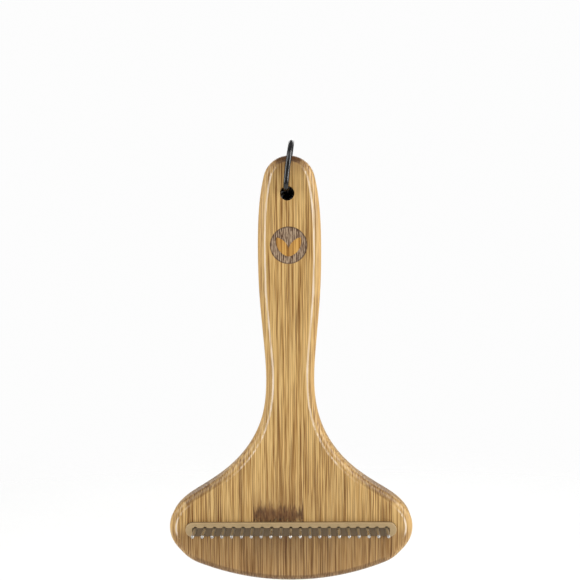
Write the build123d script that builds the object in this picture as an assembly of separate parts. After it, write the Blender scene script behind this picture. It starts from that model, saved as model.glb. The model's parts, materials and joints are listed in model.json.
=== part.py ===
"""Undercoat rake: a laminated bamboo board, a bar of turning steel pins let into its head, and a hang loop.

The frame is the rake hanging upright: +Z up along the handle, the pins pointing along -Y, +X to the right of
someone who looks at the pins. The origin is where the hang loop bears on its peg, in the middle of the
board's thickness. All sizes are in millimetres.
"""

from build123d import *
import math
import os

# Board
BOARD_LENGTH = 170.0
BOARD_THICKNESS = 14.0
EDGE_RADIUS = 3.2
STRIP_WIDTH = 5.0
STRIPS_PER_SIDE = 10
NECK_STRIP = 2  # the outermost strip, counted from the middle, that runs the whole length
THIN_STRETCHES = ((0.0, 9.0), (75.5, 99.0))  # below the tip, where the next strip would be a feather edge
THIN_REACH = 1.0  # further out than such an edge stands beyond the neck strip
LOOP_REACH = 4.6  # from the loop's bearing point down to the handle's tip
TIP_Z = -LOOP_REACH
FACE_Y = -BOARD_THICKNESS / 2
BACK_Y = BOARD_THICKNESS / 2

# Outline of the right half: distance below the tip, and half width there
NOSE_RADIUS = 10.3
NOSE_SWEEP = 76.0  # degrees of arc from the tip's middle to the handle's side
HANDLE_SIDE = [(36.0, 12.6), (53.2, 12.2), (65.2, 11.3), (77.2, 10.2), (90.0, 9.6)]
HEAD_FLARE = [(106.5, 12.1), (117.2, 17.6), (126.0, 25.9), (133.2, 36.4)]
HEAD_CORNER = [(138.0, 43.4), (142.9, 47.4), (148.6, 48.7), (154.0, 47.3), (158.6, 43.6)]
HEAD_BOTTOM_RADIUS = 101.8
HEAD_BOTTOM_START = 37.0  # half width where the corner runs into the bottom arc

# Hanging hole
HOLE_X = -0.75
HOLE_BELOW_TIP = 15.1
HOLE_RADIUS = 2.85

# Pin bar and the groove that holds it
BAR_LENGTH = 84.0
BAR_WIDTH = 5.7
BAR_BELOW_TIP = 148.7
BAR_PROUD = 2.0
LEDGE_PROUD = 0.9
LEDGE_PROUD_AT_FOOT = 0.55
LIP_ABOVE_CENTRE = 0.85
GROOVE_DEPTH = 7.0
GLUE_GAP = 0.05
BACKING_THICKNESS = 1.0
BAR_EDGE_RADIUS = 0.35
NOTCH_RADIUS = 0.8
NOTCH_ABOVE_PIN = 0.22
LEDGE_END_MARGIN = 1.3  # from the outermost pins' axes to the ledge's ends

# Turning pins
PIN_COUNT = 21
PIN_PITCH = 3.8
PIN_RADIUS = 0.65
PIN_CLEARANCE = 0.04
PIN_ABOVE_BAR_CENTRE = 0.35
PIN_REACH = 14.9  # from the board's face to the pins' tips
PIN_HEAD_RADIUS = 1.3
PIN_HEAD_THICKNESS = 0.8
HEAD_POCKET_RADIUS = 1.45
HEAD_POCKET_DEPTH = 1.0
HEAD_PLAY = 0.1

# Burnt roundel on the handle
ROUNDEL_X = -0.3
ROUNDEL_BELOW_TIP = 35.6
ROUNDEL_RADIUS = 7.4
ROUNDEL_DEPTH = 0.15
LEAF_LENGTH = 9.0
LEAF_ARC_RADIUS = 6.2
LEAF_TILTS = (-32.0, 32.0)

# Hang loop: the cord's route, from the knot behind the hole out at the front, over the tip and back again
LOOP_DIAMETER = 2.2
LOOP_ROUTE = [
    (-0.8, 5.4, -18.3),
    (-0.9, 1.6, -18.15),
    (-1.0, -2.7, -18.2),
    (-1.15, -7.0, -18.4),
    (-1.2, -9.4, -16.4),
    (-0.8, -8.8, -11.7),
    (-0.2, -8.7, -7.2),
    (0.45, -7.6, -3.1),
    (0.85, -4.3, 0.2),
    (0.95, 0.0, 1.4),
    (0.8, 4.3, 0.2),
    (0.3, 7.6, -3.1),
    (-0.2, 8.8, -7.1),
    (-0.55, 8.95, -11.65),
    (-0.75, 8.75, -16.35),
]
BEND_SHARE = 0.45  # how much of the shorter run each bend uses up

# Knot of the loop's two ends, pulled against the hole from behind
KNOT_RADIUS = 3.3
KNOT_CLEARANCE = 0.1
TAIL_LENGTH = 7.5  # from the knot's middle
TAIL_TURNS = (-16.0, 13.0)  # how far the two cut ends splay, in degrees
TAIL_LEAN = 6.0  # how far they lean away from the board, in degrees

OVERCUT = 5.0  # how far a cutter runs past the surface it opens
SAME_PLACE = 1e-4  # two places closer than this are one

BAR_Z = TIP_Z - BAR_BELOW_TIP
PIN_Z = BAR_Z + PIN_ABOVE_BAR_CENTRE
HOLE_Z = TIP_Z - HOLE_BELOW_TIP
GROOVE_FLOOR_Y = FACE_Y + GROOVE_DEPTH
BAR_BACK_Y = GROOVE_FLOOR_Y - BACKING_THICKNESS


def front_plane(y):
    """A sketch plane at depth y whose own x and y run along the row's X and Z."""
    return Plane(origin=(0, y, 0), x_dir=(1, 0, 0), z_dir=(0, -1, 0))


def outline_points(pairs):
    """Sketch points of the right half from pairs of distance below the tip and half width."""
    return [(half_width, TIP_Z - below) for below, half_width in pairs]


def board_half_outline():
    """Closed outline of the board's right half, from the tip round to the head's foot."""
    sweep = math.radians(NOSE_SWEEP)
    nose_end = (NOSE_RADIUS * math.sin(sweep), TIP_Z - NOSE_RADIUS * (1 - math.cos(sweep)))
    nose_mid = (NOSE_RADIUS * math.sin(sweep / 2), TIP_Z - NOSE_RADIUS * (1 - math.cos(sweep / 2)))
    foot_z = TIP_Z - BOARD_LENGTH
    bottom_turn = math.asin(HEAD_BOTTOM_START / HEAD_BOTTOM_RADIUS)
    corner_end = (HEAD_BOTTOM_START, foot_z + HEAD_BOTTOM_RADIUS * (1 - math.cos(bottom_turn)))
    half_turn = bottom_turn / 2
    bottom_mid = (
        HEAD_BOTTOM_RADIUS * math.sin(half_turn),
        foot_z + HEAD_BOTTOM_RADIUS * (1 - math.cos(half_turn)),
    )
    side = [nose_end, *outline_points(HANDLE_SIDE + HEAD_FLARE + HEAD_CORNER), corner_end]
    tangents = [
        (math.cos(sweep), -math.sin(sweep)),
        (-math.cos(bottom_turn), -math.sin(bottom_turn)),
    ]
    nose = ThreePointArc((0, TIP_Z), nose_mid, nose_end)
    flank = Spline(side, tangents=tangents)
    bottom = ThreePointArc(corner_end, bottom_mid, (0, foot_z))
    middle = Line((0, foot_z), (0, TIP_Z))
    return make_face([nose, flank, bottom, middle])


def board_half():
    """The right half of the board with both faces rounded over."""
    face = front_plane(FACE_Y) * board_half_outline()
    solid = extrude(face, amount=-BOARD_THICKNESS)
    rims = [
        edge
        for edge in solid.edges()
        if abs(abs(edge.center().Y) - BACK_Y) < SAME_PLACE and abs(edge.center().X) > SAME_PLACE
    ]
    return fillet(rims, EDGE_RADIUS)


def stadium_block(length, width, centre_z, front_y, depth):
    """A round-ended block whose front is at front_y and which runs back by depth."""
    sketch = front_plane(front_y) * Pos(0, centre_z) * SlotOverall(length, width)
    return extrude(sketch, amount=-depth)


def round_post(x, z, radius, front_y, back_y):
    """A round post along Y between two depths."""
    sketch = front_plane(front_y) * Pos(x, z) * Circle(radius)
    return extrude(sketch, amount=front_y - back_y)


def leaf_sketch(tilt):
    """A pointed leaf of two equal arcs that springs from the roundel's foot and leans by tilt degrees."""
    rise = LEAF_LENGTH / 2
    bulge = LEAF_ARC_RADIUS - math.sqrt(LEAF_ARC_RADIUS**2 - rise**2)
    right = ThreePointArc((0, 0), (bulge, rise), (0, LEAF_LENGTH))
    left = ThreePointArc((0, LEAF_LENGTH), (-bulge, rise), (0, 0))
    foot_z = TIP_Z - ROUNDEL_BELOW_TIP - LEAF_LENGTH / 2
    return Pos(ROUNDEL_X, foot_z) * Rot(0, 0, -tilt) * make_face([right, left])


def roundel_recess():
    """The shallow burnt disc on the handle, with two leaves left standing in it."""
    disc = Pos(ROUNDEL_X, TIP_Z - ROUNDEL_BELOW_TIP) * Circle(ROUNDEL_RADIUS)
    for tilt in LEAF_TILTS:
        disc = disc - leaf_sketch(tilt)
    return extrude(front_plane(FACE_Y - ROUNDEL_DEPTH) * disc, amount=-2 * ROUNDEL_DEPTH)


def upright_box(inner_x, outer_x, top_below_tip, foot_below_tip):
    """A box through the board between two distances from the middle and two distances below the tip."""
    centre = ((inner_x + outer_x) / 2, 0, TIP_Z - (top_below_tip + foot_below_tip) / 2)
    depth = BOARD_THICKNESS + 2 * OVERCUT
    return Pos(*centre) * Box(outer_x - inner_x, depth, foot_below_tip - top_below_tip)


def slab(number):
    """The space that one strip takes up, counted from the middle.

    Where the strip outside the neck strip would run out to a feather edge, the neck strip takes that edge.
    """
    inner_x = (number - 1) * STRIP_WIDTH
    outer_x = number * STRIP_WIDTH
    space = upright_box(inner_x, outer_x, -OVERCUT, BOARD_LENGTH + OVERCUT)
    for top, foot in THIN_STRETCHES:
        if number == NECK_STRIP:
            space = space + upright_box(outer_x, outer_x + THIN_REACH, top, foot)
        elif number == NECK_STRIP + 1:
            space = space - upright_box(inner_x, inner_x + THIN_REACH, top, foot)
    return space


def bamboo_strips():
    """Every glued strip of the board, by name, with the groove, the hole and the roundel cut."""
    half = board_half()
    groove_length = BAR_LENGTH + 2 * GLUE_GAP
    groove_width = BAR_WIDTH + 2 * GLUE_GAP
    cutters = [
        stadium_block(groove_length, groove_width, BAR_Z, FACE_Y - OVERCUT, GROOVE_DEPTH + OVERCUT),
        round_post(HOLE_X, HOLE_Z, HOLE_RADIUS, FACE_Y - OVERCUT, BACK_Y + OVERCUT),
        roundel_recess(),
    ]
    strips = {}
    for number in range(1, STRIPS_PER_SIDE + 1):
        blank = half & slab(number)
        for side, placed in (("right", blank), ("left", mirror(blank, Plane.YZ))):
            cut = placed
            for cutter in cutters:
                cut = cut - cutter
            pieces = sorted(cut.solids(), key=lambda piece: piece.center().Z)
            strips[f"strip_{side}_{number:02d}"] = pieces[0]
            if len(pieces) > 1:
                strips[f"handle_edge_{side}"] = pieces[1]
    return strips


def pin_positions():
    """The pins' distances from the middle, left to right."""
    return [(index - (PIN_COUNT - 1) / 2) * PIN_PITCH for index in range(PIN_COUNT)]


def pin_bar():
    """The moulded bar: a round-ended block with a sloping ledge, notches and a stepped hole for each pin."""
    front_y = FACE_Y - BAR_PROUD
    bar = stadium_block(BAR_LENGTH, BAR_WIDTH, BAR_Z, front_y, BAR_BACK_Y - front_y)
    rim = [edge for edge in bar.edges() if abs(edge.center().Y - front_y) < SAME_PLACE]
    bar = fillet(rim, BAR_EDGE_RADIUS)

    lip_z = BAR_Z + LIP_ABOVE_CENTRE
    foot_z = BAR_Z - BAR_WIDTH / 2
    ledge_half = (PIN_COUNT - 1) / 2 * PIN_PITCH + LEDGE_END_MARGIN
    section = Polyline(
        (front_y - OVERCUT, lip_z),
        (FACE_Y - LEDGE_PROUD, lip_z),
        (FACE_Y - LEDGE_PROUD_AT_FOOT, foot_z),
        (FACE_Y - LEDGE_PROUD_AT_FOOT, foot_z - OVERCUT),
        (front_y - OVERCUT, foot_z - OVERCUT),
        close=True,
    )
    side_plane = Plane(origin=(-ledge_half, 0, 0), x_dir=(0, 1, 0), z_dir=(1, 0, 0))
    bar = bar - extrude(side_plane * make_face(section), amount=2 * ledge_half)

    open_front = front_y - OVERCUT
    open_back = BAR_BACK_Y + OVERCUT
    for x in pin_positions():
        notch = round_post(x, PIN_Z + NOTCH_ABOVE_PIN, NOTCH_RADIUS, open_front, FACE_Y - LEDGE_PROUD)
        bore = round_post(x, PIN_Z, PIN_RADIUS + PIN_CLEARANCE, open_front, open_back)
        pocket = round_post(x, PIN_Z, HEAD_POCKET_RADIUS, BAR_BACK_Y - HEAD_POCKET_DEPTH, open_back)
        bar = bar - notch - bore - pocket
    return bar


def pin_backing():
    """The flat strip on the groove's floor that closes the pockets behind the pins' heads."""
    return stadium_block(BAR_LENGTH, BAR_WIDTH, BAR_Z, BAR_BACK_Y, BACKING_THICKNESS)


def turning_pin(x):
    """One pin: a flat head in the bar's pocket and a straight shank with a round end."""
    head_back = BAR_BACK_Y - HEAD_PLAY
    head_front = head_back - PIN_HEAD_THICKNESS
    tip_y = FACE_Y - PIN_REACH
    head = round_post(x, PIN_Z, PIN_HEAD_RADIUS, head_front, head_back)
    shank = round_post(x, PIN_Z, PIN_RADIUS, tip_y + PIN_RADIUS, head_front)
    tip = Pos(x, tip_y + PIN_RADIUS, PIN_Z) * Sphere(PIN_RADIUS)
    return head + shank + tip


def bend_radii(points, label):
    """The radius of each bend in a route, printed with its turn."""
    radii = []
    for before, here, after in zip(points, points[1:], points[2:]):
        run_in = Vector(*here) - Vector(*before)
        run_out = Vector(*after) - Vector(*here)
        turn = run_in.get_angle(run_out)
        radius = BEND_SHARE * min(run_in.length, run_out.length) / math.tan(math.radians(turn) / 2)
        print(f"{label}: turn {turn:.1f}, radius {radius:.2f} mm or {radius / LOOP_DIAMETER:.1f} diameters")
        radii.append(radius)
    return radii


def hang_loop():
    """The loop of cord, as straight runs joined by tangent arcs."""
    path = FilletPolyline(*LOOP_ROUTE, radius=bend_radii(LOOP_ROUTE, "hang_loop"))
    start = Plane(origin=path @ 0, z_dir=path % 0)
    cord = sweep(start * Circle(LOOP_DIAMETER / 2), path=path)
    expected = math.pi * (LOOP_DIAMETER / 2) ** 2 * path.length
    print(f"hang_loop: length {path.length:.2f}, volume {cord.volume:.2f}, section x length {expected:.2f}")
    return cord


def hang_knot():
    """The knot behind the hole: a round lump that seats on the hole's rim, and the cord's two cut ends."""
    seat = math.sqrt(KNOT_RADIUS**2 - HOLE_RADIUS**2)
    middle = Pos(HOLE_X, BACK_Y + seat + KNOT_CLEARANCE, HOLE_Z)
    knot = middle * Sphere(KNOT_RADIUS)
    for turn in TAIL_TURNS:
        tail = Pos(0, 0, -TAIL_LENGTH / 2) * Cylinder(LOOP_DIAMETER / 2, TAIL_LENGTH)
        knot = knot + middle * Rot(TAIL_LEAN, 0, 0) * Rot(0, turn, 0) * tail
    return knot


def main():
    """Makes every piece and writes each to its own file."""
    os.makedirs("parts", exist_ok=True)
    pieces = bamboo_strips()
    pieces["pin_bar"] = pin_bar()
    pieces["pin_backing"] = pin_backing()
    for number, x in enumerate(pin_positions(), start=1):
        pieces[f"pin_{number:02d}"] = turning_pin(x)
    pieces["hang_loop"] = hang_loop()
    pieces["hang_knot"] = hang_knot()
    for name, shape in pieces.items():
        export_step(shape, f"parts/{name}.step")


main()
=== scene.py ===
"""Looks of the undercoat rake: laminated bamboo, khaki pin bar, turning steel pins and a black hang loop.

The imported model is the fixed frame. This script dresses its pieces, lays the cord loop in place of its plain
solid, and sets up a plain studio round the hanging rake. Lengths in the classes are in metres unless a name
ends in _mm. X runs across the rake, Y from its face to its back and Z up the handle.
"""

import json
import logging
import math
import random
from dataclasses import dataclass, field
from enum import Enum

import bpy
from mathutils import Matrix, Vector

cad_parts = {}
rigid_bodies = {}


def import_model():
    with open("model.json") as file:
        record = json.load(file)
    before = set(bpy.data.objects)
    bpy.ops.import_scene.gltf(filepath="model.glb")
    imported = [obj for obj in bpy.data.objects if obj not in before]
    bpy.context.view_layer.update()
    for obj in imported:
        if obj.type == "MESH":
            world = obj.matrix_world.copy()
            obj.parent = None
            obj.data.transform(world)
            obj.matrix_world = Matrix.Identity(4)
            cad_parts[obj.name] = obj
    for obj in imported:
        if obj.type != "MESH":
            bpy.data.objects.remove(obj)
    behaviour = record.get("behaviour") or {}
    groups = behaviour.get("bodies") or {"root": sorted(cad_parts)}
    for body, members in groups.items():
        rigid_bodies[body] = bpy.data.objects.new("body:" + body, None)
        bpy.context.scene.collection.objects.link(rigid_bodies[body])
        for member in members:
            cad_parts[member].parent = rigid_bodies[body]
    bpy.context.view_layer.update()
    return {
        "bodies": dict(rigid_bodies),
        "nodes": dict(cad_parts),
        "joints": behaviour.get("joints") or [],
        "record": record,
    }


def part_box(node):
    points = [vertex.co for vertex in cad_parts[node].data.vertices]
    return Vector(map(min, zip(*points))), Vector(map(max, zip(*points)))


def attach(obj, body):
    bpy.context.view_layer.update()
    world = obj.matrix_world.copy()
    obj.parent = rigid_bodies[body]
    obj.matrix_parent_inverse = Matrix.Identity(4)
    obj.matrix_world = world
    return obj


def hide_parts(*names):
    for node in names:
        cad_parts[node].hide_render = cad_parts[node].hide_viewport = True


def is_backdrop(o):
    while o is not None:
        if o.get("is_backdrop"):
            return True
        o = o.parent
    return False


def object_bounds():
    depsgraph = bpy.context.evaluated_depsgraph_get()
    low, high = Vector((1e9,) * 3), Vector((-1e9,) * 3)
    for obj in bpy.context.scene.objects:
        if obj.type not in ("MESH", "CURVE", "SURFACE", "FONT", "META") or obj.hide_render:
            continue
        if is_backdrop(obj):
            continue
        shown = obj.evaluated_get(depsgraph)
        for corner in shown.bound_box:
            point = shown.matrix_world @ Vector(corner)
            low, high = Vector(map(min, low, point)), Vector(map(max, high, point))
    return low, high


LOG = logging.getLogger("rake")
MM = 0.001
SEED_SPAN = (0, 60)

Socket = bpy.types.NodeSocket
Place = tuple[Socket, Socket, Socket]
Colour = tuple[float, float, float]
# A value's two ends, or where a smooth step begins and where it is complete.
Span = tuple[float, float]


def linear(red: int, green: int, blue: int) -> Colour:
    """Turns a colour in everyday 0 to 255 steps into scene-linear values.

    Args:
        red: Red, 0 to 255.
        green: Green, 0 to 255.
        blue: Blue, 0 to 255.

    Returns:
        The linear colour.
    """

    def one(step: int) -> float:
        """Returns one channel by the usual curve of screen colours."""
        share = step / 255
        return share / 12.92 if share <= 0.04045 else ((share + 0.055) / 1.055) ** 2.4

    return one(red), one(green), one(blue)


@dataclass(frozen=True)
class Grain:
    """One kind of unevenness in a material.

    Attributes:
        size_mm: How large its grains are along X, Y and Z.
        shift: Sets this pattern apart from the material's others.
        detail: How many finer layers are added.
        roughness: How strong the finer layers are.
    """

    size_mm: tuple[float, float, float]
    shift: float = 0.0
    detail: float = 2.0
    roughness: float = 0.55


class Paint:
    """A small hand for laying out a material's nodes."""

    SHIFT_FIRST = 7.31
    SHIFT_STEP = 3.17
    TINY = 0.000001
    MIX_FIRST, MIX_SECOND, MIX_RESULT = 6, 7, 2

    def __init__(self, name: str) -> None:
        """Starts a material with an empty node sheet.

        Args:
            name: The material's name.
        """
        self.material = bpy.data.materials.new(name)
        self.material.use_nodes = True
        self.tree = self.material.node_tree
        self.tree.nodes.clear()
        self.output = self.tree.nodes.new("ShaderNodeOutputMaterial")
        self.shader = self.tree.nodes.new("ShaderNodeBsdfPrincipled")
        self.tree.links.new(self.shader.outputs[0], self.output.inputs[0])

    def put(self, socket: Socket, value: object) -> None:
        """Links a socket to another node's output, or sets it to a plain value.

        Args:
            socket: The input to feed.
            value: An output socket, a number or a colour.
        """
        if isinstance(value, Socket):
            self.tree.links.new(value, socket)
        elif isinstance(value, tuple) and len(value) == 3 and len(socket.default_value) == 4:
            socket.default_value = (*value, 1.0)
        else:
            socket.default_value = value

    def surface(self, **values: object) -> None:
        """Sets inputs of the surface shader, named with underscores for spaces."""
        for name, value in values.items():
            self.put(self.shader.inputs[name.replace("_", " ")], value)

    def sum(self, operation: str, first: object, second: object = 0.0, clamp: bool = False) -> Socket:
        """One arithmetic step.

        Args:
            operation: The name of the operation, such as MULTIPLY.
            first: A number or an output socket.
            second: A number or an output socket.
            clamp: Whether the result is held between 0 and 1.

        Returns:
            The result's socket.
        """
        node = self.tree.nodes.new("ShaderNodeMath")
        node.operation = operation
        node.use_clamp = clamp
        self.put(node.inputs[0], first)
        self.put(node.inputs[1], second)
        return node.outputs[0]

    def times(self, first: object, second: object) -> Socket:
        """One value times another."""
        return self.sum("MULTIPLY", first, second)

    def plus(self, first: object, second: object, clamp: bool = False) -> Socket:
        """One value plus another."""
        return self.sum("ADD", first, second, clamp)

    def less(self, first: object, second: object) -> Socket:
        """One value less another."""
        return self.sum("SUBTRACT", first, second)

    def plain(self, value: object) -> Socket:
        """A value without its sign."""
        return self.sum("ABSOLUTE", value)

    def weigh(self, values: tuple[Socket, ...], weights: tuple[float, ...]) -> Socket:
        """Adds up values, each times its own weight.

        Args:
            values: The sockets to add up.
            weights: One weight for each, below 0 where it is taken away.

        Returns:
            The total's socket.
        """
        total = self.times(values[0], weights[0])
        for value, weight in zip(values[1:], weights[1:]):
            total = self.plus(total, self.times(value, weight))
        return total

    def fade(self, value: object, span: Span, middle: float = 0.0) -> Socket:
        """A smooth step from 0 at the span's first end to 1 at its second.

        Args:
            value: The socket that is measured.
            span: Where the step begins and where it is complete, counted from the middle.
            middle: What the span is counted from.

        Returns:
            The step's socket.
        """
        start, end = middle + span[0], middle + span[1]
        node = self.tree.nodes.new("ShaderNodeMapRange")
        node.interpolation_type = "SMOOTHSTEP"
        self.put(node.inputs["Value"], value)
        flipped = start > end
        node.inputs["From Min"].default_value = min(start, end)
        node.inputs["From Max"].default_value = max(start, end)
        node.inputs["To Min"].default_value = 1.0 if flipped else 0.0
        node.inputs["To Max"].default_value = 0.0 if flipped else 1.0
        return node.outputs["Result"]

    def spread(self, value: object, span: Span) -> Socket:
        """Maps 0 to 1 onto the span."""
        return self.plus(self.times(value, span[1] - span[0]), span[0])

    def distance(self, first: Socket, second: Socket) -> Socket:
        """Length of the line with these two sides, kept just above zero."""
        squares = self.plus(self.times(first, first), self.times(second, second))
        return self.sum("SQRT", self.plus(squares, self.TINY))

    def blend(self, share: object, first: object, second: object, mode: str = "MIX") -> Socket:
        """Mixes two colours.

        Args:
            share: How much of the second colour shows.
            first: The first colour.
            second: The second colour.
            mode: The way they mix.

        Returns:
            The mixed colour's socket.
        """
        node = self.tree.nodes.new("ShaderNodeMix")
        node.data_type = "RGBA"
        node.blend_type = mode
        self.put(node.inputs["Factor"], share)
        self.put(node.inputs[self.MIX_FIRST], first)
        self.put(node.inputs[self.MIX_SECOND], second)
        return node.outputs[self.MIX_RESULT]

    def ramp(self, value: object, stops: tuple[float, ...], colours: tuple[Colour, ...]) -> Socket:
        """Turns a value into a colour through fixed stops.

        Args:
            value: The socket that picks the colour.
            stops: The stops' places, in order.
            colours: One colour for each stop.

        Returns:
            The colour's socket.
        """
        node = self.tree.nodes.new("ShaderNodeValToRGB")
        elements = node.color_ramp.elements
        while len(elements) < len(stops):
            elements.new(0.5)
        for element, stop, colour in zip(elements, stops, colours):
            element.position = stop
            element.color = (*colour, 1.0)
        self.put(node.inputs[0], value)
        return node.outputs[0]

    def parts(self, vector: Socket) -> Place:
        """A vector's X, Y and Z sockets.

        Args:
            vector: The vector's socket.

        Returns:
            The three sockets.
        """
        split = self.tree.nodes.new("ShaderNodeSeparateXYZ")
        self.tree.links.new(vector, split.inputs[0])
        return split.outputs[0], split.outputs[1], split.outputs[2]

    def place_mm(self) -> Place:
        """The point on the piece in millimetres.

        Returns:
            Its X, Y and Z sockets.
        """
        where = self.tree.nodes.new("ShaderNodeTexCoord")
        scale = self.tree.nodes.new("ShaderNodeVectorMath")
        scale.operation = "SCALE"
        scale.inputs["Scale"].default_value = 1 / MM
        self.tree.links.new(where.outputs["Object"], scale.inputs[0])
        return self.parts(scale.outputs[0])

    def facing(self) -> Place:
        """The surface's own direction, as its X, Y and Z sockets."""
        return self.parts(self.tree.nodes.new("ShaderNodeNewGeometry").outputs["Normal"])

    def noise(self, place: Place, grain: Grain, seed: float = 0.0) -> Socket:
        """Soft noise whose grains have a length along each axis.

        Args:
            place: The point, in millimetres.
            grain: The grains' size and fineness.
            seed: Shifts the pattern on from the grain's own shift.

        Returns:
            The noise value's socket, about 0.5 on average.
        """
        join = self.tree.nodes.new("ShaderNodeCombineXYZ")
        for index, (axis, size) in enumerate(zip(place, grain.size_mm)):
            shift = (seed + grain.shift) * (self.SHIFT_FIRST + self.SHIFT_STEP * index)
            self.put(join.inputs[index], self.plus(self.times(axis, 1 / size), shift))
        node = self.tree.nodes.new("ShaderNodeTexNoise")
        self.tree.links.new(join.outputs[0], node.inputs["Vector"])
        node.inputs["Scale"].default_value = 1.0
        node.inputs["Detail"].default_value = grain.detail
        node.inputs["Roughness"].default_value = grain.roughness
        return node.outputs[0]

    def relief(self, height: object, depth: float, strength: float) -> Socket:
        """Surface relief from a height value.

        Args:
            height: The socket that holds the height, 0 to 1.
            depth: How far 1 stands above 0, in metres.
            strength: How much of the relief is used.

        Returns:
            The bent normal's socket.
        """
        node = self.tree.nodes.new("ShaderNodeBump")
        node.inputs["Strength"].default_value = strength
        node.inputs["Distance"].default_value = depth
        self.put(node.inputs["Height"], height)
        return node.outputs[0]


@dataclass(frozen=True)
class CaneJoint:
    """The dark joint of the cane across a strip, ragged along the fibres, with a soft stain round it.

    Attributes:
        z_mm: Height of the joint's middle.
        half_mm: Half the joint's height.
        core_share: How strong the joint itself is.
        stain_share: How strong the stain round it is.
        drip_share: How strong the stain below it is.
        rougher: How much rougher the joint is than the wood.
    """

    z_mm: float
    half_mm: float = 3.2
    core_share: float = 0.70
    stain_share: float = 0.22
    drip_share: float = 0.22
    rougher: float = 0.12

    BROWNS = (linear(62, 36, 18), linear(96, 60, 32), linear(122, 84, 48))
    BROWN_STOPS = (0.34, 0.48, 0.64)
    PIT = linear(30, 14, 6)
    TUFTS = Grain((0.7, 1.2, 30.0), 61.0)
    FRAYS = Grain((0.30, 0.6, 2.4), 67.0, detail=1.0)
    THREADS = Grain((0.5, 0.9, 3.0), 71.0)
    DOTS = Grain((0.9, 1.2, 1.1), 79.0, detail=0.0)
    TUFT_REACH_MM = (-4.4, 4.4)
    FRAY_REACH_MM = (-2.6, 2.6)
    CORE_EDGE_MM = (2.2, -1.8)
    STAIN_EDGE_MM = (12.0, 0.0)
    DRIP_TOP_MM = (-2.0, -6.0)
    DRIP_FOOT_MM = (-26.0, -14.0)
    PIT_TOP_MM = (-0.6, -1.8)
    PIT_SPAN = (0.60, 0.68)

    def share(self, paint: Paint, place: Place) -> Socket:
        """Where the joint and its stain show.

        Args:
            paint: The material.
            place: The point, in millimetres.

        Returns:
            The share's socket.
        """
        tufts = paint.spread(paint.noise(place, self.TUFTS), self.TUFT_REACH_MM)
        frays = paint.spread(paint.noise(place, self.FRAYS), self.FRAY_REACH_MM)
        above = paint.less(place[2], self.z_mm)
        away = paint.plus(paint.plain(above), paint.plus(tufts, frays))
        core = paint.fade(away, self.CORE_EDGE_MM, self.half_mm)
        stain = paint.fade(away, self.STAIN_EDGE_MM, self.half_mm)
        drip = paint.times(paint.fade(above, self.DRIP_TOP_MM), paint.fade(above, self.DRIP_FOOT_MM))
        joint = paint.weigh((core, stain), (self.core_share, self.stain_share))
        return paint.plus(joint, paint.times(drip, self.drip_share), clamp=True)

    def colour(self, paint: Paint, place: Place) -> Socket:
        """Scorched brown with short darker threads and a few pits along the joint's foot.

        Args:
            paint: The material.
            place: The point, in millimetres.

        Returns:
            The colour's socket.
        """
        brown = paint.ramp(paint.noise(place, self.THREADS), self.BROWN_STOPS, self.BROWNS)
        low = paint.fade(place[2], self.PIT_TOP_MM, self.z_mm)
        pits = paint.times(paint.fade(paint.noise(place, self.DOTS), self.PIT_SPAN), low)
        return paint.blend(pits, brown, self.PIT)


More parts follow.
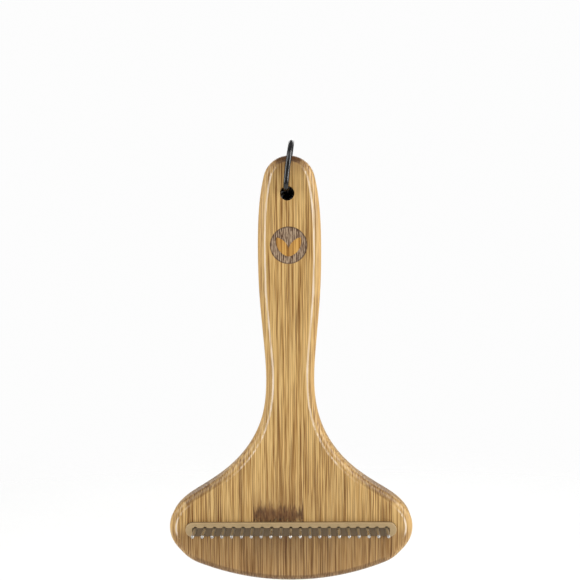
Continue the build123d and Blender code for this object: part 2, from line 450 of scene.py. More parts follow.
@dataclass(frozen=True)
class BurntRoundel:
    """The burnt disc on the handle with two plain leaves left in it.

    Attributes:
        x_mm: Centre, across.
        z_mm: Centre, along the handle.
        radius_mm: The disc's radius.
        front_mm: Depth of the board's front face.
        leaf_mm: Length of a leaf.
        leaf_arc_mm: Radius of a leaf's edges.
        leaf_tilts: How far each leaf leans, in degrees.
        hatch_mm: From one pass of the burning to the next.
        rougher: How much rougher the burn is than the wood.
    """

    x_mm: float
    z_mm: float
    radius_mm: float = 7.4
    front_mm: float = -7.0
    leaf_mm: float = 9.0
    leaf_arc_mm: float = 6.2
    leaf_tilts: tuple[float, float] = (-32.0, 32.0)
    hatch_mm: float = 0.74
    rougher: float = 0.2

    WARM = (0.92, 0.77, 0.50)
    BURNS = (linear(84, 60, 44), linear(136, 110, 86), linear(182, 158, 130))
    BURN_STOPS = (0.38, 0.50, 0.64)
    RIM = linear(70, 48, 36)
    RIM_SHARE = 0.55
    UNEVEN = Grain((0.5, 0.8, 2.6), 91.0)
    HATCH_REACH = (0.0, 0.13)
    WARM_EDGE_MM = (0.3, -0.2)
    DISC_EDGE_MM = (0.08, -0.08)
    RIM_EDGE_MM = (-0.7, -0.25)
    LEAF_EDGE_MM = (0.06, -0.06)
    DEPTH_EDGE_MM = (0.6, 0.3)

    def warmth(self, paint: Paint, point: Place) -> Socket:
        """Where the burning has browned the wood that it left standing.

        Args:
            paint: The material.
            point: The point, in millimetres.

        Returns:
            The share's socket, 1 where browned.
        """
        away = paint.distance(*self._from_centre(paint, point))
        disc = paint.fade(away, self.WARM_EDGE_MM, self.radius_mm)
        return paint.times(disc, self._at_front(paint, point[1]))

    def share(self, paint: Paint, point: Place) -> Socket:
        """Where the face is burnt.

        Args:
            paint: The material.
            point: The point, in millimetres.

        Returns:
            The share's socket, 1 where burnt.
        """
        across, along = self._from_centre(paint, point)
        burnt = paint.fade(paint.distance(across, along), self.DISC_EDGE_MM, self.radius_mm)
        for tilt in self.leaf_tilts:
            burnt = paint.times(burnt, paint.less(1.0, self._leaf(paint, across, along, tilt)))
        return paint.times(burnt, self._at_front(paint, point[1]))

    def colour(self, paint: Paint, place: Place, seed: float) -> Socket:
        """Grey-brown of the burn in fine passes, darker along the disc's rim.

        Args:
            paint: The material.
            place: The point, swayed with the fibres, in millimetres.
            seed: The strip's own shift.

        Returns:
            The colour's socket.
        """
        passes = paint.sum("SINE", paint.times(place[0], 2 * math.pi / self.hatch_mm))
        uneven = paint.noise(place, self.UNEVEN, seed)
        lines = paint.plus(paint.spread(passes, self.HATCH_REACH), uneven)
        hatch = paint.ramp(lines, self.BURN_STOPS, self.BURNS)
        away = paint.distance(*self._from_centre(paint, place))
        rim = paint.fade(away, self.RIM_EDGE_MM, self.radius_mm)
        return paint.blend(paint.times(rim, self.RIM_SHARE), hatch, self.RIM)

    def _from_centre(self, paint: Paint, place: Place) -> tuple[Socket, Socket]:
        """How far across and how far up a point lies from the disc's centre."""
        return paint.less(place[0], self.x_mm), paint.less(place[2], self.z_mm)

    def _at_front(self, paint: Paint, y: Socket) -> Socket:
        """Keeps the burn to the front face."""
        return paint.fade(y, self.DEPTH_EDGE_MM, self.front_mm)

    def _leaf(self, paint: Paint, across: Socket, along: Socket, tilt: float) -> Socket:
        """Share of one leaf, the overlap of two discs, leaning from the roundel's foot.

        Args:
            paint: The material.
            across: Place across, from the disc's centre.
            along: Place along the handle, from the disc's centre.
            tilt: How far the leaf leans, in degrees.

        Returns:
            The share's socket, 1 inside the leaf.
        """
        half = self.leaf_mm / 2
        reach = math.sqrt(self.leaf_arc_mm**2 - half**2)
        turn = math.radians(tilt)
        lean_x, lean_z = math.sin(turn), math.cos(turn)
        middle = (half * lean_x, -half + half * lean_z)
        inside: object = 1.0
        for side in (-1, 1):
            centre = (middle[0] + side * reach * lean_z, middle[1] - side * reach * lean_x)
            away = paint.distance(paint.less(across, centre[0]), paint.less(along, centre[1]))
            inside = paint.times(inside, paint.fade(away, self.LEAF_EDGE_MM, self.leaf_arc_mm))
        return inside


@dataclass(frozen=True)
class RimEndsAndPaintedLight:
    """What shows along the board's rounded rim: the fibres' darker cut ends, partly painted shade, and a
    painted highlight line.

    Attributes:
        ripple_share: How strong the single cut fibres are.
        foot_share: How strong the cut ends and their painted shade are where the rim faces down, against 1
            where it faces up.
    """

    ripple_share: float = 0.54
    foot_share: float = 0.48

    # Dark cut-end colour, which also serves as painted shade where the rim faces up or down.
    CUT_END_AND_SHADE = linear(88, 55, 22)
    # Near-white colour of the painted highlight line.
    PAINTED_HIGHLIGHT = linear(248, 230, 206)
    ENDS = Grain((0.26, 2.2, 2.2), 83.0)
    # Grain of the specks that break up the painted highlight line.
    HIGHLIGHT_SPECKS = Grain((0.42, 0.8, 14.0), 97.0, detail=1.0)
    NICKS = Grain((0.30, 1.6, 1.6), 103.0, detail=1.0)
    # A _TILT is how squarely the surface faces out of the board, a _RISE how far up it faces.
    STEEP_RISE = (0.05, 0.90)
    ENDS_SPAN = (0.34, 0.70)
    ENDS_DEPTH = (0.74, 1.06)
    # Where the rim faces up or down and takes the dark cut-end colour, partly painted shade.
    TOP_RISE = (0.72, 0.98)
    FOOT_RISE = (-0.80, -0.97)
    TURNED_TILT = (0.9995, 0.95)
    # The painted highlight line: where it lies on the rim, and how specks and gaps break it up.
    LINE_INSIDE_TILT = (0.99995, 0.9985)
    LINE_OUTSIDE_TILT = (0.960, 0.986)
    LINE_TOP_RISE = (0.88, 0.55)
    LINE_FOOT_RISE = (-0.55, -0.10)
    HIGHLIGHT_SPECK_SPAN = (0.38, 0.60)
    HIGHLIGHT_SPECK_SHARE = (0.30, 0.74)
    GAP_RISE = (0.12, 0.50)
    NICK_SPAN = (0.58, 0.44)
    GAP_SHARE = (1.15, 0.15)

    def over(self, paint: Paint, place: Place, seed: float, colour: Socket) -> Socket:
        """Lays the cut ends, partly painted shade, and over them the painted highlight line, on the wood's
        colour.

        Args:
            paint: The material.
            place: The point, in millimetres.
            seed: The strip's own shift.
            colour: The wood's colour.

        Returns:
            The worn colour's socket.
        """
        side, depth, up = paint.facing()
        tilt = paint.plain(depth)
        rise = paint.sum("DIVIDE", up, paint.distance(side, up))
        ends = paint.noise(place, self.ENDS, seed)
        ripples = paint.times(paint.fade(paint.plain(up), self.STEEP_RISE), paint.fade(ends, self.ENDS_SPAN))
        # Partly real end grain, partly painted shade: the dark cut-end colour covers the rim almost fully
        # where it faces up, and less where it faces down.
        foot = paint.times(paint.fade(rise, self.FOOT_RISE), self.foot_share)
        square = paint.plus(paint.fade(rise, self.TOP_RISE), foot)
        square = paint.times(square, paint.fade(tilt, self.TURNED_TILT))
        deep = paint.times(square, paint.spread(ends, self.ENDS_DEPTH))
        cut = paint.plus(paint.times(ripples, self.ripple_share), deep, clamp=True)
        colour = paint.blend(cut, colour, self.CUT_END_AND_SHADE)
        # Painted highlight: a near-white line where each face turns into its rounded edge.
        return paint.blend(self._painted_highlight_line(paint, place, seed, tilt, rise), colour, self.PAINTED_HIGHLIGHT)

    def _painted_highlight_line(self, paint: Paint, place: Place, seed: float, tilt: Socket, rise: Socket) -> Socket:
        """A painted highlight along the line where each face turns into its rounded edge, broken by fibre ends
        where it slants.

        Args:
            paint: The material.
            place: The point, in millimetres.
            seed: The strip's own shift.
            tilt: 1 on the board's faces, 0 square to them.
            rise: How far up the rim faces: 1 up, 0 sideways, -1 down.

        Returns:
            The share's socket.
        """
        line = paint.times(paint.fade(tilt, self.LINE_INSIDE_TILT), paint.fade(tilt, self.LINE_OUTSIDE_TILT))
        line = paint.times(line, paint.fade(rise, self.LINE_TOP_RISE))
        line = paint.times(line, paint.fade(rise, self.LINE_FOOT_RISE))
        # Specks that break up the painted highlight.
        rubbed = paint.fade(paint.noise(place, self.HIGHLIGHT_SPECKS, seed), self.HIGHLIGHT_SPECK_SPAN)
        line = paint.times(line, paint.spread(rubbed, self.HIGHLIGHT_SPECK_SHARE))
        nicks = paint.fade(paint.noise(place, self.NICKS, seed), self.NICK_SPAN)
        gaps = paint.times(paint.fade(paint.plain(rise), self.GAP_RISE), nicks)
        return paint.times(line, paint.spread(gaps, self.GAP_SHARE))


@dataclass(frozen=True)
class BambooFinish:
    """Oiled bamboo of one glued strip: upright fibres, dark streaks, glue lines and a rim with cut ends and a
    painted highlight.

    Attributes:
        name: The strip's name.
        seed: Shifts the strip's own fibres.
        tone: How much lighter (above 0) or darker (below 0) the strip is, from -1 to 1.
        shaded_below_mm: Height under which the wood is darkened with painted shade below the pin bar.
        shaded_above_mm: Height over which the handle's tip is darkened with painted shade.
        joint: The cane joint that crosses this strip, or None.
        roundel: The burnt roundel that crosses this strip, or None.
        rim: The cut ends, painted shade and painted highlight along the rounded rim.
    """

    name: str
    seed: float
    tone: float
    shaded_below_mm: float
    shaded_above_mm: float
    joint: CaneJoint | None = None
    roundel: BurntRoundel | None = None
    rim: RimEndsAndPaintedLight = RimEndsAndPaintedLight()

    STRIP_MM = 5.0
    SWAY = Grain((7.0, 7.0, 34.0), 3.0, detail=1.0)
    SWAY_REACH_MM = (-0.2, 0.2)

    BANDS = Grain((1.7, 2.6, 150.0), detail=1.0)
    FIBRES = Grain((0.33, 1.7, 46.0), 11.0, detail=1.0, roughness=0.6)
    HAIRS = Grain((0.24, 0.7, 11.0), 23.0, detail=1.0)
    # How much the bands, fibres and hairs count in the wood's colour.
    WEAVE = (0.10, 0.58, 0.32)
    TONE_STEP = 0.010
    WOODS = (linear(118, 77, 32), linear(184, 142, 80), linear(221, 184, 121))
    WOOD_STOPS = (0.385, 0.475, 0.570)

    # Partly the planed side's smoother grain, partly painted light: a lighter colour where the rim faces
    # sideways, towards the side lamps.
    RIM_TILT = (0.95, 0.55)
    SIDE_RISE = (0.55, 0.20)
    SIDE_WOOD_LIT = linear(199, 160, 100)
    SIDE_LIT_SHARE = 0.62

    STREAKS = Grain((0.24, 1.4, 26.0), 47.0, detail=1.0)
    STREAK = linear(106, 70, 34)
    STREAK_SPAN = (0.56, 0.66)
    STREAK_SHARE = 0.72
    STREAK_ON_RIM = (1.0, 0.12)
    GLUE_EDGE_MM = (0.20, 0.04)
    GLUE_SHARE = 0.30

    # Painted shade below the pin bar and at the handle's tip: its colour, where it fades in, and how much
    # shows on the rim.
    FOOT_AND_TIP_SHADE = (0.74, 0.69, 0.69)
    FOOT_SHADE_EDGE_MM = (1.5, -3.5)
    FOOT_SHADE_ON_RIM = (1.0, 0.3)
    TIP_SHADE_EDGE_MM = (-4.0, 3.0)

    ROUGHNESS = (0.52, 0.30)
    # How far the fibres, hairs, streaks and glue lines stand up or lie deeper.
    HEIGHTS = (0.6, 0.4, -0.5, -0.3)
    RELIEF_DEPTH = 0.00006
    RELIEF_STRENGTH = 0.6

    def make(self) -> bpy.types.Material:
        """Lays out the strip's material.

        Returns:
            The finished material.
        """
        paint = Paint(f"bamboo_{self.name}")
        point = paint.place_mm()
        sway = paint.spread(paint.noise(point, self.SWAY, self.seed), self.SWAY_REACH_MM)
        place = (paint.plus(point[0], sway), point[1], point[2])
        bands = paint.noise(place, self.BANDS, self.seed)
        fibres = paint.noise(place, self.FIBRES, self.seed)
        hairs = paint.noise(place, self.HAIRS, self.seed)
        weave = paint.plus(paint.weigh((bands, fibres, hairs), self.WEAVE), self.TONE_STEP * self.tone)
        colour = paint.ramp(weave, self.WOOD_STOPS, self.WOODS)

        _, depth, up = paint.facing()
        rim = paint.fade(paint.plain(depth), self.RIM_TILT)
        # Partly painted light: the rim is coloured lighter where it faces sideways.
        planed_and_lit = paint.times(rim, paint.fade(paint.plain(up), self.SIDE_RISE))
        colour = paint.blend(paint.times(planed_and_lit, self.SIDE_LIT_SHARE), colour, self.SIDE_WOOD_LIT)
        streaks = self._streaks(paint, place, rim)
        colour = paint.blend(streaks, colour, self.STREAK)
        glue = self._glue_line(paint, point[0])
        colour = paint.blend(paint.times(glue, self.GLUE_SHARE), colour, self.STREAK)
        rough = paint.spread(fibres, self.ROUGHNESS)

        if self.joint is not None:
            joint = self.joint.share(paint, place)
            colour = paint.blend(joint, colour, self.joint.colour(paint, place))
            rough = paint.plus(rough, paint.times(joint, self.joint.rougher))
        # Painted shade: darkens the wood below the pin bar and at the handle's tip.
        colour = paint.blend(self._painted_shade(paint, point[2], rim), colour, self.FOOT_AND_TIP_SHADE, mode="MULTIPLY")
        colour = self.rim.over(paint, place, self.seed, colour)
        if self.roundel is not None:
            warmth = self.roundel.warmth(paint, point)
            colour = paint.blend(warmth, colour, self.roundel.WARM, mode="MULTIPLY")
            burnt = self.roundel.share(paint, point)
            colour = paint.blend(burnt, colour, self.roundel.colour(paint, place, self.seed))
            rough = paint.plus(rough, paint.times(burnt, self.roundel.rougher))

        height = paint.weigh((fibres, hairs, streaks, glue), self.HEIGHTS)
        paint.surface(
            Base_Color=colour,
            Roughness=rough,
            Normal=paint.relief(height, self.RELIEF_DEPTH, self.RELIEF_STRENGTH),
            Coat_Weight=0.08,
            Coat_Roughness=0.24,
            Specular_IOR_Level=0.34,
        )
        return paint.material

    def _streaks(self, paint: Paint, place: Place, rim: Socket) -> Socket:
        """Share of the thin dark vessels between the fibres, which hardly show on the rim.

        Args:
            paint: The material.
            place: The point, in millimetres.
            rim: 1 on the rounded rim, 0 on the faces.

        Returns:
            The share's socket.
        """
        dark = paint.fade(paint.noise(place, self.STREAKS, self.seed), self.STREAK_SPAN)
        return paint.times(paint.times(dark, self.STREAK_SHARE), paint.spread(rim, self.STREAK_ON_RIM))

    def _glue_line(self, paint: Paint, x: Socket) -> Socket:
        """Share of the thin dark glue line at each edge of the strip."""
        from_edge = paint.plain(paint.sum("PINGPONG", x, self.STRIP_MM / 2))
        return paint.fade(from_edge, self.GLUE_EDGE_MM)

    def _painted_shade(self, paint: Paint, z: Socket, rim: Socket) -> Socket:
        """Share of painted shade: the wood darkened below the pin bar and at the handle's tip.

        Args:
            paint: The material.
            z: Height, in millimetres.
            rim: 1 on the rounded rim, 0 on the faces.

        Returns:
            The share's socket.
        """
        foot = paint.fade(z, self.FOOT_SHADE_EDGE_MM, self.shaded_below_mm)
        foot = paint.times(foot, paint.spread(rim, self.FOOT_SHADE_ON_RIM))
        tip = paint.fade(z, self.TIP_SHADE_EDGE_MM, self.shaded_above_mm)
        return paint.plus(foot, tip, clamp=True)


@dataclass(frozen=True)
class KhakiPlastic:
    """Moulded khaki plastic with a fine satin skin and painted shade in the recess round the pins.

    Attributes:
        body: The lighter clouds of the plastic.
        shade: The darker clouds.
        dust_and_recess_shade: Painted shade in the recess round the pins, and the dust in the skin's pits.
        ledge_mm: Depth at which the recess begins.
    """

    body: Colour = linear(182, 156, 114)
    shade: Colour = linear(166, 141, 102)
    dust_and_recess_shade: Colour = linear(98, 78, 51)
    ledge_mm: float = -8.3

    CLOUD = Grain((9.0, 4.0, 2.4), 5.0)
    SKIN = Grain((0.22, 0.22, 0.22), 9.0, detail=3.0, roughness=0.65)
    FLOW = Grain((3.0, 0.8, 0.5), 17.0, detail=1.0)
    DUST_SPAN = (0.60, 0.72)
    DUST_SHARE = 0.25
    # Where the painted shade in the recess fades in, and how strong it is.
    RECESS_SHADE_EDGE_MM = (-0.2, 0.2)
    RECESS_SHADE_SHARE = 0.92
    ROUGHNESS = (0.38, 0.60)
    RELIEF_DEPTH = 0.00003
    RELIEF_STRENGTH = 0.5

    def make(self) -> bpy.types.Material:
        """Lays out the plastic's material.

        Returns:
            The finished material.
        """
        paint = Paint("khaki_plastic")
        place = paint.place_mm()
        skin = paint.noise(place, self.SKIN)
        flow = paint.noise(place, self.FLOW)
        colour = paint.blend(paint.noise(place, self.CLOUD), self.shade, self.body)
        dust = paint.times(paint.fade(skin, self.DUST_SPAN), self.DUST_SHARE)
        colour = paint.blend(dust, colour, self.dust_and_recess_shade)
        # Painted shade: the plastic darkens from the recess's depth on, in place of the shadow under the lip
        # and pins.
        recess = paint.times(paint.fade(place[1], self.RECESS_SHADE_EDGE_MM, self.ledge_mm), self.RECESS_SHADE_SHARE)
        colour = paint.blend(recess, colour, self.dust_and_recess_shade)
        evenness = paint.times(paint.plus(skin, flow), 0.5)
        paint.surface(
            Base_Color=colour,
            Roughness=paint.spread(evenness, self.ROUGHNESS),
            Normal=paint.relief(skin, self.RELIEF_DEPTH, self.RELIEF_STRENGTH),
            Specular_IOR_Level=0.5,
        )
        return paint.material


@dataclass(frozen=True)
class PinSteel:
    """Polished stainless wire with fine drawing marks.

    Attributes:
        name: The material's name.
        polish: How much this pin has been polished by use.
        seed: Shifts this pin's smears.
        bright: Polished steel.
        dull: Smeared steel.
    """

    name: str
    polish: float
    seed: float
    bright: Colour = linear(204, 202, 197)
    dull: Colour = linear(164, 161, 155)

    MARKS = Grain((0.10, 6.0, 0.10), 3.0)
    SMEARS = Grain((0.9, 1.6, 0.9), detail=3.0)
    ROUGH_LOW, ROUGH_HIGH = 0.34, 0.46
    POLISH_GAIN = 0.12
    RELIEF_DEPTH = 0.000004
    RELIEF_STRENGTH = 0.3

    def make(self) -> bpy.types.Material:
        """Lays out the steel's material.

        Returns:
            The finished material.
        """
        paint = Paint(self.name)
        place = paint.place_mm()
        smears = paint.noise(place, self.SMEARS, self.seed)
        gain = self.POLISH_GAIN * self.polish
        marks = paint.noise(place, self.MARKS)
        paint.surface(
            Base_Color=paint.blend(paint.times(smears, self.polish), self.dull, self.bright),
            Metallic=1.0,
            Roughness=paint.spread(smears, (self.ROUGH_LOW - gain, self.ROUGH_HIGH - gain)),
            Normal=paint.relief(marks, self.RELIEF_DEPTH, self.RELIEF_STRENGTH),
        )
        return paint.material


@dataclass(frozen=True)
class BlackCord:
    """Glossy black elastic cord with a faint ribbed sheath.

    Attributes:
        body: The cord's black.
        worn: Where it is rubbed a little greyer.
    """

    body: Colour = linear(12, 12, 13)
    worn: Colour = linear(30, 29, 30)

    RIBS = Grain((0.16, 0.16, 0.9), 3.0)
    WEAR = Grain((1.6, 1.6, 2.2), 7.0, detail=3.0)
    WEAR_SPAN = (0.5, 0.8)
    ROUGHNESS = (0.17, 0.30)
    RELIEF_DEPTH = 0.00001
    RELIEF_STRENGTH = 0.25

    def make(self) -> bpy.types.Material:
        """Lays out the cord's material.

        Returns:
            The finished material.
        """
        paint = Paint("black_cord")
        place = paint.place_mm()
        ribs = paint.noise(place, self.RIBS)
        wear = paint.noise(place, self.WEAR)
        paint.surface(
            Base_Color=paint.blend(paint.fade(wear, self.WEAR_SPAN), self.body, self.worn),
            Roughness=paint.spread(wear, self.ROUGHNESS),
            Normal=paint.relief(ribs, self.RELIEF_DEPTH, self.RELIEF_STRENGTH),
            Specular_IOR_Level=0.6,
        )
        return paint.material


@dataclass(frozen=True)
class StudioFloor:
    """Matt white studio paint with a trace of unevenness, which fades into the backdrop all round.

    Attributes:
        full_to_mm: How far from the middle the floor is solid.
        gone_by_mm: Where nothing is left of it.
    """

    full_to_mm: float = 340.0
    gone_by_mm: float = 880.0

    CLOUD = Grain((180.0, 180.0, 180.0), 3.0, detail=3.0)
    WHITES = (linear(238, 238, 237), linear(244, 244, 243))
    ROUGHNESS = (0.75, 0.9)

    def make(self) -> bpy.types.Material:
        """Lays out the floor's material.

        Returns:
            The finished material.
        """
        paint = Paint("studio_floor")
        place = paint.place_mm()
        cloud = paint.noise(place, self.CLOUD)
        paint.surface(
            Base_Color=paint.blend(cloud, *self.WHITES),
            Roughness=paint.spread(cloud, self.ROUGHNESS),
            Alpha=paint.fade(paint.distance(place[0], place[1]), (self.gone_by_mm, self.full_to_mm)),
        )
        return paint.material


def dress(piece: bpy.types.Object, material: bpy.types.Material) -> None:
    """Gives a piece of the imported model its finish, in the piece's own slots.

    Args:
        piece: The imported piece.
        material: The finish.
    """
    for slot in piece.material_slots:
        slot.link = "OBJECT"
        slot.material = material


@dataclass
class BambooBoard:
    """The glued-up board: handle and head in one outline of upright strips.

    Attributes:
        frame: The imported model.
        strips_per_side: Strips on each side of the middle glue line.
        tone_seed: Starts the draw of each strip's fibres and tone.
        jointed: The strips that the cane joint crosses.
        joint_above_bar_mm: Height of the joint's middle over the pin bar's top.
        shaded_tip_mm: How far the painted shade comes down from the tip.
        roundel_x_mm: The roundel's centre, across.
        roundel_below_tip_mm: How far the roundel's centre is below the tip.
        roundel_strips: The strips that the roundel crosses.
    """

    frame: dict
    strips_per_side: int = 10
    tone_seed: int = 41
    jointed: tuple[str, ...] = ("strip_left_03", "strip_left_02", "strip_left_01", "strip_right_01")
    joint_above_bar_mm: float = 2.6
    shaded_tip_mm: float = 5.5
    roundel_x_mm: float = -0.3
    roundel_below_tip_mm: float = 35.6
    roundel_strips: tuple[str, ...] = ("strip_left_02", "strip_left_01", "strip_right_01", "strip_right_02")

    def names(self) -> list[str]:
        """The board's pieces: left strips, right strips and then the two handle edges.

        Returns:
            Their names in order.
        """
        numbers = range(1, self.strips_per_side + 1)
        strips = [f"strip_{side}_{number:02d}" for side in ("left", "right") for number in numbers]
        return strips + ["handle_edge_left", "handle_edge_right"]

    def build(self) -> int:
        """Dresses every strip in its own bamboo.

        Returns:
            How many pieces were dressed.
        """
        draw = random.Random(self.tone_seed)
        face_corner, tip_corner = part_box("strip_left_01")
        tip_mm = tip_corner.z / MM
        bar_foot_mm, bar_top_mm = (corner.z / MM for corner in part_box("pin_bar"))
        roundel = BurntRoundel(
            self.roundel_x_mm, tip_mm - self.roundel_below_tip_mm, front_mm=face_corner.y / MM
        )
        joint = CaneJoint(bar_top_mm + self.joint_above_bar_mm)
        for name in self.names():
            finish = BambooFinish(
                name=name,
                seed=draw.uniform(*SEED_SPAN),
                tone=draw.uniform(-1.0, 1.0),
                shaded_below_mm=(bar_foot_mm + bar_top_mm) / 2,
                shaded_above_mm=tip_mm - self.shaded_tip_mm,
                joint=joint if name in self.jointed else None,
                roundel=roundel if name in self.roundel_strips else None,
            )
            dress(self.frame["nodes"][name], finish.make())
            LOG.info("dressed %s", name)
        return len(self.names())


@dataclass
class PinRow:
    """The bar, its backing strip and the turning pins.

    Attributes:
        frame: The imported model.
        pin_count: How many pins there are.
        polish_seed: Starts the draw of each pin's polish and smears.
        polish_span: Least and most polish of a pin.
    """

    frame: dict
    pin_count: int = 21
    polish_seed: int = 7
    polish_span: Span = (0.3, 1.4)

    def build(self) -> int:
        """Dresses the bar, the backing and every pin.

        Returns:
            How many pieces were dressed.
        """
        plastic = KhakiPlastic().make()
        draw = random.Random(self.polish_seed)
        moulded = ("pin_bar", "pin_backing")
        for name in moulded:
            dress(self.frame["nodes"][name], plastic)
            LOG.info("dressed %s", name)
        for number in range(1, self.pin_count + 1):
            polish = draw.uniform(*self.polish_span)
            steel = PinSteel(f"pin_steel_{number:02d}", polish, draw.uniform(*SEED_SPAN))
            dress(self.frame["nodes"][f"pin_{number:02d}"], steel.make())
        LOG.info("dressed %d pins", self.pin_count)
        return self.pin_count + len(moulded)


@dataclass
class HangLoop:
    """The cord loop, from its knot out through the hanging hole, over the handle's tip and back to the knot.

    Attributes:
        diameter: The cord's diameter.
        length: The cord's length along its route. Not used.
        route_mm: The points that guide the cord, from the knot and back to it.
        smoothness: Steps of the smooth curve between two of its points.
        knot_steps: Points round the knot's path.
        knot_scale: Size of one unit of the knot's path.
        knot_stand_off: How far the knot's middle stands off the board's back, in cord diameters.
        knot_below_top: How far the knot's middle is below its plain solid's top.
        tail_length: Length of each cut end that hangs from the knot.
        tail_turns: How far each cut end spreads sideways, in degrees.
        tail_lean: How far both lean away from the board, in degrees.
        tail_bow: How far each bows sideways and outwards.
        tail_steps: Shares of a tail's length at which its guide points lie.
    """

    diameter: float = 2.2 * MM
    length: float = 60.0 * MM
    route_mm: tuple[tuple[float, float, float], ...] = (
        (-0.8, 5.4, -18.3),
        (-0.9, 1.6, -18.15),
        (-1.0, -2.7, -18.2),
        (-1.15, -7.0, -18.4),
        (-1.2, -9.4, -16.4),
        (-0.8, -8.8, -11.7),
        (-0.2, -8.7, -7.2),
        (0.45, -7.6, -3.1),
        (0.85, -4.3, 0.2),
        (0.95, 0.0, 1.4),
        (0.8, 4.3, 0.2),
        (0.3, 7.6, -3.1),
        (-0.2, 8.8, -7.1),
        (-0.55, 8.95, -11.65),
        (-0.75, 8.75, -16.35),
    )
    smoothness: int = 12
    knot_steps: int = 96
    knot_scale: float = 0.98 * MM
    knot_stand_off: float = 0.78
    knot_below_top: float = 3.3 * MM
    tail_length: float = 6.4 * MM
    tail_turns: tuple[float, float] = (-16.0, 13.0)
    tail_lean: float = 6.0
    tail_bow: tuple[float, float] = (0.35 * MM, 0.3 * MM)
    tail_steps: tuple[float, ...] = (0.0, 0.35, 0.7, 1.0)

    def build(self) -> bpy.types.Object:
        """Lays the cord as one smooth curve and ties its knot.

        Returns:
            The cord.
        """
        finish = BlackCord().make()
        curve = self._tube("hang_cord", roundness=8)
        self._lay(curve, [Vector(place) * MM for place in self.route_mm])
        cord = bpy.data.objects.new("hang_cord", curve)
        bpy.context.scene.collection.objects.link(cord)
        curve.materials.append(finish)
        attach(cord, "board")
        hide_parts("hang_loop")
        knot = self._knot(finish)
        LOG.info("laid %s and tied %s", cord.name, knot.name)
        return cord

    def _tube(self, name: str, roundness: int) -> bpy.types.Curve:
        """Starts an empty curve that shows as round cord.

        Args:
            name: The curve's name.
            roundness: How finely the cord's round is divided.

        Returns:
            The curve.
        """
        curve = bpy.data.curves.new(name, "CURVE")
        curve.dimensions = "3D"
        curve.bevel_depth = self.diameter / 2
        curve.bevel_resolution = roundness
        curve.resolution_u = self.smoothness
        curve.use_fill_caps = True
        return curve

    def _lay(self, curve: bpy.types.Curve, places: list[Vector]) -> None:
        """Lays one smooth length of cord along guide points.

        Args:
            curve: The curve that takes it.
            places: The guide points, from end to end.
        """
        spline = curve.splines.new("NURBS")
        spline.points.add(len(places) - 1)
        for point, place in zip(spline.points, places):
            point.co = (*place, 1.0)
        spline.order_u = 3
        spline.use_endpoint_u = True

    def _knot(self, finish: bpy.types.Material) -> bpy.types.Object:
        """Ties the overhand knot behind the hole, with the cord's two cut ends hanging from it.

        Args:
            finish: The cord's finish.

        Returns:
            The knot.
        """
        low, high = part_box("hang_knot")
        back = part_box("strip_left_01")[1].y
        stand_off = self.diameter * self.knot_stand_off
        middle = Vector(((low.x + high.x) / 2, back + stand_off, high.z - self.knot_below_top))
        curve = self._tube("knot_path", roundness=6)
        wrap = curve.splines.new("POLY")
        wrap.points.add(self.knot_steps - 1)
        wrap.use_cyclic_u = True
        for index, point in enumerate(wrap.points):
            point.co = (*(middle + self._trefoil(2 * math.pi * index / self.knot_steps)), 1.0)
        for turn in self.tail_turns:
            self._lay(curve, self._tail(middle, turn))
        holder = bpy.data.objects.new("knot_holder", curve)
        mesh = bpy.data.meshes.new_from_object(holder)
        bpy.data.objects.remove(holder)
        mesh.name = "hang_knot_cord"
        mesh.shade_smooth()
        mesh.materials.clear()
        mesh.materials.append(finish)
        knot = bpy.data.objects.new("hang_knot_cord", mesh)
        bpy.context.scene.collection.objects.link(knot)
        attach(knot, "board")
        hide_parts("hang_knot")
        return knot

    def _trefoil(self, turn: float) -> Vector:
        """A point on the path of an overhand knot drawn tight.

        Args:
            turn: How far round the path it is, in radians.

        Returns:
            The point, from the knot's middle.
        """
        across = math.sin(turn) + 2 * math.sin(2 * turn)
        along = math.cos(turn) - 2 * math.cos(2 * turn)
        off = -math.sin(3 * turn)
        return Vector((across, off, along)) * self.knot_scale

    def _tail(self, middle: Vector, turn: float) -> list[Vector]:
        """The guide points of one cut end.

        Args:
            middle: The knot's middle, where it starts.
            turn: How far it spreads sideways, in degrees.

        Returns:
            The points, from the knot to the cut.
        """
        lean = Matrix.Rotation(math.radians(self.tail_lean), 3, "X")
        way = lean @ Matrix.Rotation(math.radians(turn), 3, "Y") @ Vector((0.0, 0.0, -1.0))
        sideways, outwards = self.tail_bow
        bow = Vector((sideways if turn < 0 else -sideways, outwards, 0.0))
        return [
            middle + way * (self.tail_length * step) + bow * math.sin(math.pi * step)
            for step in self.tail_steps
        ]


class Softbox(Enum):
    """The studio's lights.

    Each has its turn and height in degrees, distance, width and height in metres, and power in watts.
    """

    LEFT = (-72.0, 22.0, 1.0, 0.45, 0.8, 6.4)
    RIGHT = (72.0, 22.0, 1.0, 0.45, 0.8, 10.2)
    FRONT = (0.0, 42.0, 1.1, 1.2, 0.5, 2.1)
    BACK = (180.0, 30.0, 1.25, 1.4, 0.7, 9.0)


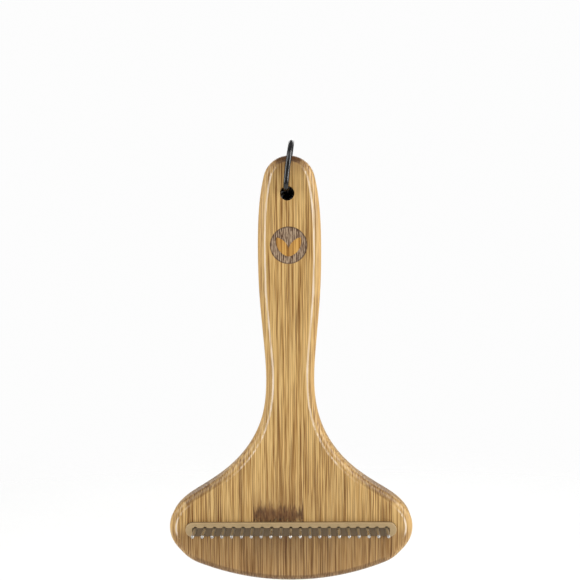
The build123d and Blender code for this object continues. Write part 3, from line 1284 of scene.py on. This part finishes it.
@dataclass
class Studio:
    """Plain pale floor, even light and the camera.

    Attributes:
        aim_x: Where the camera aims, across.
        aim_share: How far down the middle strip it aims, as a share of the strip's length.
        distance: From the camera to where it aims.
        height_angle: How far above level the camera stands, in degrees.
        turn_angle: How far it stands round to one side, in degrees.
        lean_angle: How far it leans sideways, in degrees.
        lens: Focal length, in millimetres on the sensor.
        sensor: The sensor's width, in millimetres.
        near: Nearest distance the camera sees.
        floor_drop: How far the floor is below the rake.
        floor_radius: Radius of the round floor.
        floor_sides: Straight sides that make up its round.
        surround: Brightness of the surround on the rake.
        backdrop: Brightness of the surround as a backdrop.
        aim: Where the camera and the lights aim.
    """

    aim_x: float = 0.16 * MM
    aim_share: float = 0.3136
    distance: float = 0.4826
    height_angle: float = 2.461
    turn_angle: float = -0.844
    lean_angle: float = -0.32
    lens: float = 75.7
    sensor: float = 36.0
    near: float = 0.01
    floor_drop: float = 0.09
    floor_radius: float = 1.15
    floor_sides: int = 128
    surround: float = 0.29
    backdrop: float = 0.98
    aim: Vector = field(init=False)

    def __post_init__(self) -> None:
        """Aims at a point on the board's face, a fixed share of its length below the tip."""
        low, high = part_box("strip_left_01")
        self.aim = Vector((self.aim_x, low.y, high.z - self.aim_share * (high.z - low.z)))

    def build(self) -> None:
        """Sets up the floor, the lights and the camera."""
        self._floor()
        for box in Softbox:
            self._light(box)
        self._world()
        self._camera()
        LOG.info("studio ready")

    def _floor(self) -> None:
        """A round pale table top below the hanging rake."""
        low_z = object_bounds()[0].z - self.floor_drop
        turns = [2 * math.pi * side / self.floor_sides for side in range(self.floor_sides)]
        radius = self.floor_radius
        rim = [(radius * math.cos(turn), radius * math.sin(turn), low_z) for turn in turns]
        mesh = bpy.data.meshes.new("floor")
        mesh.from_pydata(rim, [], [list(range(self.floor_sides))])
        floor = bpy.data.objects.new("floor", mesh)
        mesh.materials.append(StudioFloor().make())
        bpy.context.scene.collection.objects.link(floor)
        floor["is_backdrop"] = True

    def _light(self, box: Softbox) -> None:
        """Hangs one softbox so that it faces the rake.

        Args:
            box: Which softbox.
        """
        turn, rise, away, width, height, power = box.value
        turn, rise = math.radians(turn), math.radians(rise)
        out = Vector((math.sin(turn) * math.cos(rise), -math.cos(turn) * math.cos(rise), math.sin(rise)))
        lamp = bpy.data.lights.new(f"softbox_{box.name.lower()}", "AREA")
        lamp.shape = "RECTANGLE"
        lamp.size, lamp.size_y = width, height
        lamp.energy = power
        holder = bpy.data.objects.new(lamp.name, lamp)
        holder.location = self.aim + out * away
        holder.rotation_euler = out.to_track_quat("Z", "Y").to_euler()
        bpy.context.scene.collection.objects.link(holder)

    def _world(self) -> None:
        """A dim even surround that shows as a pale backdrop."""
        world = bpy.data.worlds.new("surround")
        world.use_nodes = True
        tree = world.node_tree
        sky = tree.nodes["Background"]
        sky.inputs["Color"].default_value = (1.0, 1.0, 1.0, 1.0)
        path = tree.nodes.new("ShaderNodeLightPath")
        level = tree.nodes.new("ShaderNodeMapRange")
        level.inputs["To Min"].default_value = self.surround
        level.inputs["To Max"].default_value = self.backdrop
        tree.links.new(path.outputs["Is Camera Ray"], level.inputs["Value"])
        tree.links.new(level.outputs["Result"], sky.inputs["Strength"])
        bpy.context.scene.world = world

    def _camera(self) -> None:
        """The camera in front of the rake, looking slightly down at it."""
        angles = (self.height_angle, self.turn_angle, self.lean_angle)
        rise, turn, lean = (math.radians(angle) for angle in angles)
        ahead = Vector((math.sin(turn) * math.cos(rise), math.cos(turn) * math.cos(rise), -math.sin(rise)))
        right = Vector((math.cos(turn), -math.sin(turn), 0.0))
        up = right.cross(ahead)
        cos_lean, sin_lean = math.cos(lean), math.sin(lean)
        right, up = right * cos_lean + up * sin_lean, up * cos_lean - right * sin_lean
        lens = bpy.data.cameras.new("camera")
        lens.lens = self.lens
        lens.sensor_width = self.sensor
        lens.clip_start = self.near
        camera = bpy.data.objects.new("camera", lens)
        turned = Matrix((right, up, -ahead)).transposed().to_4x4()
        camera.matrix_world = Matrix.Translation(self.aim - ahead * self.distance) @ turned
        bpy.context.scene.collection.objects.link(camera)
        bpy.context.scene.camera = camera


def clear_start() -> None:
    """Removes whatever the program starts with."""
    for thing in list(bpy.data.objects):
        bpy.data.objects.remove(thing)


def main() -> None:
    """Builds the rake's looks in order."""
    logging.basicConfig(level=logging.INFO, format="%(name)s: %(message)s")
    clear_start()
    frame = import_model()
    Studio().build()
    HangLoop().build()
    BambooBoard(frame).build()
    PinRow(frame).build()
    bpy.context.scene.view_settings.view_transform = "Standard"


if __name__ == "__main__":
    main()
